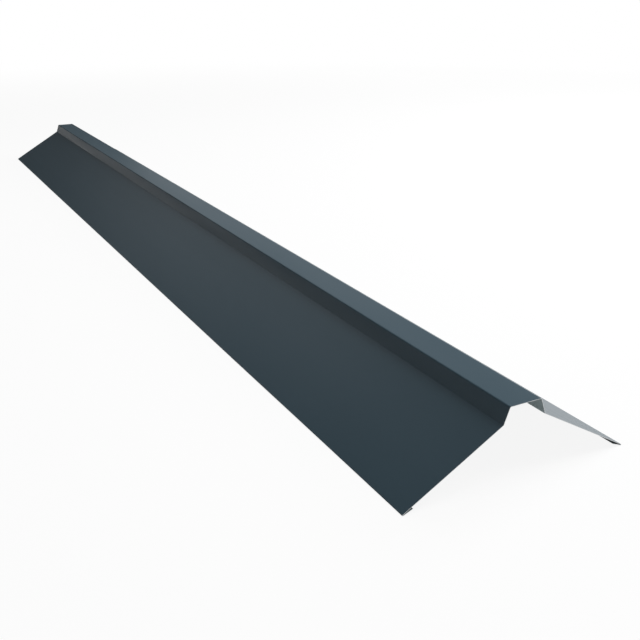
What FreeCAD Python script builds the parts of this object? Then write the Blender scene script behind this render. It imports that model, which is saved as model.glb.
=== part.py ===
"""Roof ridge cap: one length of painted sheet steel, folded to a flat crown with a riser,
a sloping wing and a narrow hem on each side. +X runs along the ridge, +Z is up, and the
origin lies under the middle of the cap, level with the hems that it stands on.
"""

import math
import os

import FreeCAD
import Part

# Driving dimensions, in millimetres and degrees. Widths are measured on the painted face
# from fold to fold, and slopes below the horizontal.
LENGTH = 2000.0
SHEET_THICKNESS = 0.5
CROWN_WIDTH = 40.0
RISER_WIDTH = 20.0
RISER_SLOPE = 70.0
WING_WIDTH = 135.0
WING_SLOPE = 30.0
HEAD_RADIUS = 1.5  # inside radius of the bend at the riser's head
FOOT_RADIUS = 0.5  # inside radius of the bend at the riser's foot
HEM_WIDTH = 13.0  # from the outside of the fold to the lip's cut edge
HEM_OPENING = 8.0  # between the wing and the lip folded under it
HEM_RADIUS = 0.3  # inside radius of the hem's fold

# Half a turn would lay the hem's lip flat back against the wing.
HALF_TURN = math.degrees(math.pi)


def setback(turn, face_radius):
    """Length of flat that a bend takes up on one side of its corner."""
    return face_radius * math.tan(math.radians(turn / 2))


# Flat runs that are left between the bends.
head_setback = setback(RISER_SLOPE, HEAD_RADIUS + SHEET_THICKNESS)
foot_setback = setback(RISER_SLOPE - WING_SLOPE, FOOT_RADIUS)
hem_outside = HEM_RADIUS + SHEET_THICKNESS
crown_flat = CROWN_WIDTH - 2 * head_setback
riser_flat = RISER_WIDTH - head_setback - foot_setback
wing_flat = WING_WIDTH - foot_setback - hem_outside
lip_flat = HEM_WIDTH - hem_outside

# Each fold outwards from the crown: its turn (positive is downwards), its inside radius
# and the flat run that follows it.
FOLDS = (
    (RISER_SLOPE, HEAD_RADIUS, riser_flat),
    (WING_SLOPE - RISER_SLOPE, FOOT_RADIUS, wing_flat),
    (HALF_TURN - HEM_OPENING, HEM_RADIUS, lip_flat),
)


def outwards(slope):
    """Direction of a run that leaves the crown at this slope."""
    angle = math.radians(slope)
    return FreeCAD.Vector(0, math.cos(angle), -math.sin(angle))


def painted_normal(slope):
    """Normal of the painted face of a run at this slope."""
    angle = math.radians(slope)
    return FreeCAD.Vector(0, math.sin(angle), math.cos(angle))


def straight(start, end):
    return Part.LineSegment(start, end).toShape()


def bend(centre, radius, slope_before, slope_after):
    """Arc of one face through a bend. A negative radius puts the centre on the painted side."""
    slopes = (slope_before, (slope_before + slope_after) / 2, slope_after)
    points = [centre + painted_normal(slope) * radius for slope in slopes]
    return Part.Arc(*points).toShape()


def half_outline():
    """Both faces of the sheet from the crown's edge to the lip, and the lip's cut edge."""
    edges = []
    slope = 0.0
    painted_end = FreeCAD.Vector(0, crown_flat / 2, 0)
    for turn, inside_radius, flat in FOLDS:
        painted_radius = inside_radius + SHEET_THICKNESS if turn > 0 else -inside_radius
        centre = painted_end - painted_normal(slope) * painted_radius
        next_slope = slope + turn
        normal = painted_normal(next_slope)
        painted_start = centre + normal * painted_radius
        painted_end = painted_start + outwards(next_slope) * flat
        for depth in (0.0, SHEET_THICKNESS):
            below = normal * depth
            edges.append(bend(centre, painted_radius - depth, slope, next_slope))
            edges.append(straight(painted_start - below, painted_end - below))
        slope = next_slope
    edges.append(straight(painted_end, painted_end - normal * SHEET_THICKNESS))
    return edges


def section():
    """The sheet's whole section, the same on both sides of the ridge."""
    middle = FreeCAD.Vector(0, 0, 0)
    across = FreeCAD.Vector(0, 1, 0)
    right_edges = half_outline()
    left_edges = [edge.mirror(middle, across) for edge in right_edges]
    crown_edges = []
    for depth in (0.0, SHEET_THICKNESS):
        crown_edge = FreeCAD.Vector(0, crown_flat / 2, -depth)
        crown_edges.append(straight(crown_edge - across * crown_flat, crown_edge))
    ordered = Part.__sortEdges__(right_edges + left_edges + crown_edges)
    return Part.Face(Part.Wire(ordered))


def ridge_cap():
    """The folded sheet, cut square at both ends and stood on its hems."""
    cap = section().extrude(FreeCAD.Vector(LENGTH, 0, 0))
    cap.translate(FreeCAD.Vector(-LENGTH / 2, 0, -cap.BoundBox.ZMin))
    return cap


os.makedirs("parts", exist_ok=True)
ridge_cap().exportStep("parts/ridge_cap.step")
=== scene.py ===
"""Looks of a flat-topped roof ridge cap: one folded sheet of steel with dark blue-grey paint
outside, a grey back coat inside and bright cut edges, on a pale floor in soft studio light.
"""

import math

import bpy
import numpy as np
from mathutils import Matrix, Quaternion, Vector


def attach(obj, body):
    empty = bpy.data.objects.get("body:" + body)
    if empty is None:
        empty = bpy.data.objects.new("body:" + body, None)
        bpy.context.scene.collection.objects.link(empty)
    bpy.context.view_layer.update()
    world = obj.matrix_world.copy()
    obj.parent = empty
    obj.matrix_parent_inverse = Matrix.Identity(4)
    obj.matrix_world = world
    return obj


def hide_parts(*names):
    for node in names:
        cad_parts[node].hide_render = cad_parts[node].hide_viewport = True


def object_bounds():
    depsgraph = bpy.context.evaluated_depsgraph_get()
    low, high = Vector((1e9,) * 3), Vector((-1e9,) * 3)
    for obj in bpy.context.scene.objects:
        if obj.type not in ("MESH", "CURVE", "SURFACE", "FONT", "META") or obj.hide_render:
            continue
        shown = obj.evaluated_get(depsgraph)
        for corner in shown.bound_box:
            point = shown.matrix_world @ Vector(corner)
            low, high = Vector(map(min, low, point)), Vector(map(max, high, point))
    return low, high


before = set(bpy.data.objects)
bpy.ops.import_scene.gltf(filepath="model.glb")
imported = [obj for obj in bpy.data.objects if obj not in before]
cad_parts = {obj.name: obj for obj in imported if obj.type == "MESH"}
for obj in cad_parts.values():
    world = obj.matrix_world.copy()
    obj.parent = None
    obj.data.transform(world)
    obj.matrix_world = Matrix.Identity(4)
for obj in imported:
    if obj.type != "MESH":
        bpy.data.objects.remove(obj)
cad_low, cad_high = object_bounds()

# The sheet's folds, in metres and degrees. Widths are measured on the painted face from
# fold to fold, and slopes below the horizontal.
SHEET_THICKNESS = 0.0005
CROWN_WIDTH = 0.040
RISER_WIDTH = 0.020
RISER_SLOPE = 70.0
WING_WIDTH = 0.135
WING_SLOPE = 30.0
HEAD_RADIUS = 0.0015
FOOT_RADIUS = 0.0005
HEM_WIDTH = 0.013
HEM_OPENING = 8.0
HEM_RADIUS = 0.0003
HALF_TURN = 180.0

# How finely the sheet is divided along the ridge and across it, in metres and in degrees.
STATION_SPACING = 0.0125
END_SPACING = 0.0008
FLAT_SPACING = 0.0075
FLAT_MARGIN = 0.0003
BEND_STEP = 7.0

# Slight waves that a thin sheet keeps after folding, in metres: their height, their lengths along
# the ridge, the share of each, and their shift across a wing's width as a part of one wave.
WAVE_HEIGHT = 0.00018
WAVE_LENGTHS = (0.61, 0.37, 0.23)
WAVE_SHARES = (0.5, 0.3, 0.2)
WAVE_SHIFT = 0.7

# Corners over this angle, in degrees, are shaded as sharp edges: only the cut edges' are.
SHARP_ANGLE = 40.0

# Places of the three surfaces among the sheet's materials.
PAINT, BACK, CUT = range(3)

LENGTH = cad_high.x - cad_low.x
CROWN_HEIGHT = cad_high.z


def setback(turn, face_radius):
    """Length of flat that a bend takes up on one side of its corner."""
    return face_radius * math.tan(math.radians(turn / 2))


def outwards(slope):
    """Direction, across and up, of a run that leaves the crown at this slope."""
    angle = math.radians(slope)
    return np.array((math.cos(angle), -math.sin(angle)))


def painted_normal(slope):
    """Normal, across and up, of the painted face of a run at this slope."""
    angle = math.radians(slope)
    return np.array((math.sin(angle), math.cos(angle)))


def flat_stops(flat):
    """Distances along a flat run, close together beside its two bends."""
    inner = np.linspace(FLAT_MARGIN, flat - FLAT_MARGIN, max(2, round(flat / FLAT_SPACING) + 1))
    return np.concatenate((inner, (flat,)))


def half_profile():
    """Points of the painted face from the ridge's middle to the lip, their normals, and a
    share from 0 at a bend to 1 in the middle of a flat."""
    head = setback(RISER_SLOPE, HEAD_RADIUS + SHEET_THICKNESS)
    foot = setback(RISER_SLOPE - WING_SLOPE, FOOT_RADIUS)
    hem_outside = HEM_RADIUS + SHEET_THICKNESS
    folds = (
        (RISER_SLOPE, HEAD_RADIUS, RISER_WIDTH - head - foot),
        (WING_SLOPE - RISER_SLOPE, FOOT_RADIUS, WING_WIDTH - foot - hem_outside),
        (HALF_TURN - HEM_OPENING, HEM_RADIUS, HEM_WIDTH - hem_outside),
    )
    crown_half = CROWN_WIDTH / 2 - head
    slope = 0.0
    end = np.array((crown_half, CROWN_HEIGHT))
    across = np.append(0.0, flat_stops(crown_half))
    points = [np.array((y, CROWN_HEIGHT)) for y in across]
    normals = [painted_normal(slope)] * len(points)
    shares = [math.cos(math.pi / 2 * y / crown_half) for y in across]
    for turn, inside_radius, flat in folds:
        radius = inside_radius + SHEET_THICKNESS if turn > 0 else -inside_radius
        centre = end - painted_normal(slope) * radius
        steps = math.ceil(abs(turn) / BEND_STEP)
        for step in range(1, steps + 1):
            normal = painted_normal(slope + turn * step / steps)
            points.append(centre + normal * radius)
            normals.append(normal)
            shares.append(0.0)
        slope += turn
        start = points[-1]
        for distance in flat_stops(flat):
            points.append(start + outwards(slope) * distance)
            normals.append(painted_normal(slope))
            shares.append(math.sin(math.pi * distance / flat))
        end = points[-1]
    return np.array(points), np.array(normals), np.array(shares)


def whole_profile():
    """The painted face from one lip to the other."""
    mirror = np.array((-1.0, 1.0))
    points, normals, shares = half_profile()
    return (
        np.concatenate((points[:0:-1] * mirror, points)),
        np.concatenate((normals[:0:-1] * mirror, normals)),
        np.concatenate((shares[:0:-1], shares)),
    )


def stations():
    """Places along the ridge where the section is repeated, closer at the cut ends."""
    half = LENGTH / 2
    inner = np.linspace(END_SPACING - half, half - END_SPACING, round(LENGTH / STATION_SPACING))
    return np.concatenate(((-half,), inner, (half,)))


def waves(along, across):
    """Height of the sheet's slight waves, which differ from flat to flat."""
    height = np.zeros(np.broadcast(along, across).shape)
    for length, share in zip(WAVE_LENGTHS, WAVE_SHARES):
        phase = 2 * math.pi * (along / length + across / WING_WIDTH * WAVE_SHIFT + share)
        height += share * np.sin(phase)
    return WAVE_HEIGHT * height


def sheet_mesh():
    """The folded sheet as one closed mesh: painted face, back, and the cut edges between them."""
    points, normals, shares = whole_profile()
    along = stations()
    rows, columns = len(along), len(points)
    lift = waves(along[:, None], points[None, :, 0]) * shares[None, :]
    painted = np.empty((rows, columns, 3))
    painted[..., 0] = along[:, None]
    painted[..., 1:] = points[None] + normals[None] * lift[..., None]
    back = painted.copy()
    back[..., 1:] -= normals[None] * SHEET_THICKNESS
    vertices = np.concatenate((painted.reshape(-1, 3), back.reshape(-1, 3)))

    index = np.arange(rows * columns).reshape(rows, columns)
    under = index + rows * columns
    quads = {
        "paint": (index[:-1, :-1], index[1:, :-1], index[1:, 1:], index[:-1, 1:]),
        "back": (under[:-1, :-1], under[:-1, 1:], under[1:, 1:], under[1:, :-1]),
        "near end": (index[-1, :-1], under[-1, :-1], under[-1, 1:], index[-1, 1:]),
        "far end": (index[0, :-1], index[0, 1:], under[0, 1:], under[0, :-1]),
        "first lip": (index[:-1, 0], under[:-1, 0], under[1:, 0], index[1:, 0]),
        "last lip": (index[:-1, -1], index[1:, -1], under[1:, -1], under[:-1, -1]),
    }
    material_of = {"paint": PAINT, "back": BACK}
    faces, materials = [], []
    for name, corners in quads.items():
        block = np.stack([corner.ravel() for corner in corners], axis=1)
        faces.append(block)
        materials.append(np.full(len(block), material_of.get(name, CUT)))
    mesh = bpy.data.meshes.new("ridge_cap_sheet")
    mesh.from_pydata(vertices.tolist(), [], np.concatenate(faces).tolist())
    mesh.polygons.foreach_set("material_index", np.concatenate(materials).astype(np.int32))
    mesh.polygons.foreach_set("use_smooth", np.ones(len(mesh.polygons), bool))
    mesh.set_sharp_from_angle(angle=math.radians(SHARP_ANGLE))
    mesh.validate()
    return mesh


# Colours in linear light, from the low to the high end of a noise, and the noise's middle part.
STREAK_COLOURS = ((0.0465, 0.0785, 0.1008), (0.0495, 0.0835, 0.1068))
MOTTLE_COLOURS = ((0.0470, 0.0795, 0.1023), (0.0490, 0.0825, 0.1053))
BACK_COLOURS = ((0.245, 0.310, 0.321), (0.273, 0.345, 0.357))
CUT_COLOURS = ((0.50, 0.51, 0.52), (0.68, 0.69, 0.70))
NOISE_MIDDLE = (0.3, 0.7)


def add_node(tree, kind, **values):
    """A shader node with the given inputs, by name, and settings."""
    made = tree.nodes.new(kind)
    for name, value in values.items():
        label = name.replace("_", " ")
        if label in made.inputs:
            made.inputs[label].default_value = value
        else:
            setattr(made, name, value)
    return made


def new_material(name):
    """A material with only a Principled shader, and its node tree."""
    material = bpy.data.materials.new(name)
    material.use_nodes = True
    tree = material.node_tree
    return material, tree, tree.nodes["Principled BSDF"]


def place(tree, scale):
    """The point on the object, times a scale along each axis."""
    coordinate = add_node(tree, "ShaderNodeTexCoord")
    mapping = add_node(tree, "ShaderNodeMapping", Scale=scale)
    tree.links.new(coordinate.outputs["Object"], mapping.inputs["Vector"])
    return mapping.outputs["Vector"]


def noise(tree, cells, detail=2.0, along=1.0):
    """Noise with so many cells to a metre, and only a part of them along the ridge."""
    made = add_node(tree, "ShaderNodeTexNoise", Scale=cells, Detail=detail)
    tree.links.new(place(tree, (along, 1, 1)), made.inputs["Vector"])
    return made.outputs["Fac"]


def spread(tree, factor, low, high):
    """A noise's middle stretched to run from low to high."""
    made = add_node(tree, "ShaderNodeMapRange", To_Min=low, To_Max=high)
    made.inputs["From Min"].default_value, made.inputs["From Max"].default_value = NOISE_MIDDLE
    tree.links.new(factor, made.inputs["Value"])
    return made.outputs["Result"]


def mix_colours(tree, factor, first, second):
    """A colour from the first to the second, which are colours or other nodes' outputs."""
    made = add_node(tree, "ShaderNodeMix", data_type="RGBA")
    tree.links.new(factor, made.inputs["Factor"])
    for socket, value in ((made.inputs["A"], first), (made.inputs["B"], second)):
        if isinstance(value, bpy.types.NodeSocket):
            tree.links.new(value, socket)
        else:
            socket.default_value = (*value, 1.0)
    return made.outputs["Result"]


def bump(tree, shader, height, distance, strength):
    """Relief of a distance in metres on a shader's surface."""
    made = add_node(tree, "ShaderNodeBump", Strength=strength, Distance=distance)
    tree.links.new(height, made.inputs["Height"])
    tree.links.new(made.outputs["Normal"], shader.inputs["Normal"])


def paint_material():
    """Semi-gloss coil paint: a fine orange peel, faint streaks along the roll and slow mottling."""
    material, tree, shader = new_material("coil_paint")
    streaks = noise(tree, cells=60.0, detail=3.0, along=0.02)
    mottle = noise(tree, cells=9.0)
    tint = mix_colours(tree, streaks, *STREAK_COLOURS)
    shade = mix_colours(tree, spread(tree, mottle, 0.0, 1.0), *MOTTLE_COLOURS)
    half = add_node(tree, "ShaderNodeMix", data_type="RGBA", Factor=0.5)
    tree.links.new(tint, half.inputs["A"])
    tree.links.new(shade, half.inputs["B"])
    tree.links.new(half.outputs["Result"], shader.inputs["Base Color"])
    tree.links.new(spread(tree, streaks, low=0.30, high=0.32), shader.inputs["Roughness"])
    shader.inputs["Specular IOR Level"].default_value = 0.22
    bump(tree, shader, noise(tree, cells=900.0), distance=0.00001, strength=0.35)
    return material


def back_material():
    """Thin grey back coat over zinc, slightly streaky."""
    material, tree, shader = new_material("back_coat")
    streaks = noise(tree, cells=45.0, detail=4.0, along=0.03)
    colour = mix_colours(tree, spread(tree, streaks, 0.0, 1.0), *BACK_COLOURS)
    tree.links.new(colour, shader.inputs["Base Color"])
    tree.links.new(spread(tree, streaks, low=0.48, high=0.58), shader.inputs["Roughness"])
    shader.inputs["Specular IOR Level"].default_value = 0.3
    bump(tree, shader, noise(tree, cells=1200.0), distance=0.00001, strength=0.4)
    return material


def cut_material():
    """Sheared edge: bright zinc and steel with fine shear marks."""
    material, tree, shader = new_material("cut_edge")
    marks = noise(tree, cells=2500.0)
    colour = mix_colours(tree, spread(tree, marks, 0.0, 1.0), *CUT_COLOURS)
    tree.links.new(colour, shader.inputs["Base Color"])
    tree.links.new(spread(tree, marks, low=0.30, high=0.45), shader.inputs["Roughness"])
    shader.inputs["Metallic"].default_value = 1.0
    bump(tree, shader, marks, distance=0.00003, strength=0.5)
    return material


def build_cap():
    """The dressed sheet in place of the plain solid."""
    cap = bpy.data.objects.new("ridge_cap_sheet", sheet_mesh())
    bpy.context.scene.collection.objects.link(cap)
    for material in (paint_material(), back_material(), cut_material()):
        cap.data.materials.append(material)
    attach(cap, "root")
    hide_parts("ridge_cap")


# Floor, in metres. It is white where the eye or a reflection meets it, and keeps a faint shadow
# near the cap that fades out between two distances from its middle. Under the cap it is white
# only near the ends, and shaded between two distances inwards from them.
FLOOR_HALF = 45.0
FLOOR_COLOUR = (0.82, 0.82, 0.82, 1.0)
FLOOR_ROUGHNESS = 0.9
SHADOW_SHARE = 0.10
SHADOW_FADE = (1.6, 4.0)
COVERED_FADE = (0.15, 0.45)


def link_maths(tree, operation, first, second):
    """Sum, product or the like of two nodes' outputs."""
    made = add_node(tree, "ShaderNodeMath", operation=operation)
    tree.links.new(first, made.inputs[0])
    tree.links.new(second, made.inputs[1])
    return made.outputs["Value"]


def ramp(tree, value, start, stop, low, high):
    """A smooth change from low to high as the value goes from start to stop."""
    made = add_node(tree, "ShaderNodeMapRange", interpolation_type="SMOOTHSTEP")
    for name, number in (("From Min", start), ("From Max", stop), ("To Min", low), ("To Max", high)):
        made.inputs[name].default_value = number
    tree.links.new(value, made.inputs["Value"])
    return made.outputs["Result"]


def floor_material(name, covered):
    """Pale matt floor that is plain white to the eye and to reflections."""
    material, tree, shader = new_material(name)
    shader.inputs["Base Color"].default_value = FLOOR_COLOUR
    shader.inputs["Roughness"].default_value = FLOOR_ROUGHNESS
    shader.inputs["Specular IOR Level"].default_value = 0.0
    spot = add_node(tree, "ShaderNodeTexCoord").outputs["Object"]
    distance = add_node(tree, "ShaderNodeVectorMath", operation="LENGTH")
    tree.links.new(spot, distance.inputs["Vector"])
    share = ramp(tree, distance.outputs["Value"], *SHADOW_FADE, 1.0 - SHADOW_SHARE, 1.0)
    if covered:
        axes = add_node(tree, "ShaderNodeSeparateXYZ")
        tree.links.new(spot, axes.inputs["Vector"])
        along = add_node(tree, "ShaderNodeMath", operation="ABSOLUTE")
        tree.links.new(axes.outputs["X"], along.inputs[0])
        inner, outer = LENGTH / 2 - COVERED_FADE[1], LENGTH / 2 - COVERED_FADE[0]
        near_end = ramp(tree, along.outputs["Value"], inner, outer, 0.0, 1.0)
        share = link_maths(tree, "MULTIPLY", share, near_end)
    rays = add_node(tree, "ShaderNodeLightPath").outputs
    mirrored = link_maths(tree, "MAXIMUM", rays["Is Glossy Ray"], rays["Is Transmission Ray"])
    seen = link_maths(tree, "MAXIMUM", rays["Is Camera Ray"], mirrored)
    white = add_node(tree, "ShaderNodeEmission", Strength=1.0)
    mixed = add_node(tree, "ShaderNodeMixShader")
    tree.links.new(link_maths(tree, "MULTIPLY", seen, share), mixed.inputs["Fac"])
    tree.links.new(shader.outputs["BSDF"], mixed.inputs[1])
    tree.links.new(white.outputs["Emission"], mixed.inputs[2])
    tree.links.new(mixed.outputs["Shader"], tree.nodes["Material Output"].inputs["Surface"])
    return material


def build_floor():
    """One flat floor whose middle face is the part that the cap covers."""
    xs = (-FLOOR_HALF, cad_low.x, cad_high.x, FLOOR_HALF)
    ys = (-FLOOR_HALF, cad_low.y, cad_high.y, FLOOR_HALF)
    corners = [(x, y, 0.0) for y in ys for x in xs]
    index = np.arange(len(corners)).reshape(len(ys), len(xs))
    quads = (index[:-1, :-1], index[:-1, 1:], index[1:, 1:], index[1:, :-1])
    faces = np.stack([corner.ravel() for corner in quads], axis=1).tolist()
    mesh = bpy.data.meshes.new("floor")
    mesh.from_pydata(corners, [], faces)
    mesh.materials.append(floor_material("floor_open", False))
    mesh.materials.append(floor_material("floor_covered", True))
    middle = len(faces) // 2
    mesh.polygons[middle].material_index = 1
    floor = bpy.data.objects.new("floor", mesh)
    bpy.context.scene.collection.objects.link(floor)


# Widths of the square lamps, in metres.
LAMP_SIZE = 1.5
SMALL_LAMP_SIZE = 1.0


def area_light(name, location, size, energy):
    """A square soft light, aimed at the floor under the cap's middle, with its power in watts."""
    lamp = bpy.data.lights.new(name, "AREA")
    lamp.shape = "SQUARE"
    lamp.size = size
    lamp.energy = energy
    holder = bpy.data.objects.new(name, lamp)
    holder.location = location
    holder.rotation_euler = (-Vector(location)).to_track_quat("-Z", "Y").to_euler()
    bpy.context.scene.collection.objects.link(holder)


# Surroundings: a dim level for all light. The eye meets white, and so do reflections low down,
# but not beyond the far end. Heights and sides are parts of a unit direction.
STUDIO_LEVEL = 0.067
PALE_HEIGHTS = (0.10, 0.30)
PALE_SIDES = (-0.55, -0.25)


def build_world():
    """The surroundings, by the kind of ray that meets them and by its direction."""
    world = bpy.data.worlds.new("studio")
    world.use_nodes = True
    tree = world.node_tree
    background = tree.nodes["Background"]
    background.inputs["Color"].default_value = (1.0, 1.0, 1.0, 1.0)
    direction = add_node(tree, "ShaderNodeSeparateXYZ")
    tree.links.new(add_node(tree, "ShaderNodeTexCoord").outputs["Generated"], direction.inputs["Vector"])
    low_down = ramp(tree, direction.outputs["Z"], *PALE_HEIGHTS, 1.0, 0.0)
    this_side = ramp(tree, direction.outputs["X"], *PALE_SIDES, 0.0, 1.0)
    rays = add_node(tree, "ShaderNodeLightPath").outputs
    mirrored = link_maths(tree, "MAXIMUM", rays["Is Glossy Ray"], rays["Is Transmission Ray"])
    pale = link_maths(tree, "MULTIPLY", mirrored, link_maths(tree, "MULTIPLY", low_down, this_side))
    seen = link_maths(tree, "MAXIMUM", rays["Is Camera Ray"], pale)
    level = add_node(tree, "ShaderNodeMapRange", To_Min=STUDIO_LEVEL, To_Max=1.0)
    tree.links.new(seen, level.inputs["Value"])
    tree.links.new(level.outputs["Result"], background.inputs["Strength"])
    bpy.context.scene.world = world


def build_light():
    """Two large soft boxes behind the cap, a weak one above its near half and dim cards beyond
    the far end."""
    area_light("back_soft_box", (0.0, 2.71, 1.70), LAMP_SIZE, energy=78.0)
    area_light("near_soft_box", (1.39, 1.39, 2.52), LAMP_SIZE, energy=56.0)
    area_light("overhead_box", (0.99, 0.0, 3.04), LAMP_SIZE, energy=12.0)
    area_light("far_high_card", (-1.97, 0.0, 2.52), LAMP_SIZE, energy=3.3)
    area_light("far_card", (-2.71, 0.0, 1.70), LAMP_SIZE, energy=3.1)
    area_light("far_low_card", (-2.19, 2.19, 0.83), LAMP_SIZE, energy=3.5)
    area_light("far_back_card", (-3.3, 1.36, 1.05), SMALL_LAMP_SIZE, energy=1.5)


# Camera: place from the crown's middle, heading from +X towards +Y, pitch, and a slight roll,
# solved from the outlines of both ends and of the long edges. The focal length is in pixels
# of the square picture, the sensor's width in millimetres and the clip range in metres.
CAMERA_OFFSET = (1.5861, -0.5428, 0.3946)
CAMERA_HEADING = 152.052
CAMERA_PITCH = -21.594
CAMERA_ROLL = -0.218
PICTURE_SIZE = 640
FOCAL_PIXELS = 868.37
SENSOR_WIDTH = 36.0
CLIP_RANGE = (0.05, 200.0)


def build_camera():
    """The photo's camera."""
    lens = bpy.data.cameras.new("camera")
    lens.sensor_width = SENSOR_WIDTH
    lens.lens = SENSOR_WIDTH * FOCAL_PIXELS / PICTURE_SIZE
    lens.clip_start, lens.clip_end = CLIP_RANGE
    camera = bpy.data.objects.new("camera", lens)
    heading, pitch = math.radians(CAMERA_HEADING), math.radians(CAMERA_PITCH)
    level = math.cos(pitch)
    forward = Vector((level * math.cos(heading), level * math.sin(heading), math.sin(pitch)))
    camera.location = Vector((0.0, 0.0, CROWN_HEIGHT)) + Vector(CAMERA_OFFSET)
    roll = Quaternion((0.0, 0.0, 1.0), math.radians(CAMERA_ROLL))
    camera.rotation_euler = (forward.to_track_quat("-Z", "Y") @ roll).to_euler()
    bpy.context.scene.collection.objects.link(camera)
    bpy.context.scene.camera = camera


build_cap()
build_floor()
build_world()
build_light()
build_camera()
bpy.context.scene.view_settings.view_transform = "Standard"
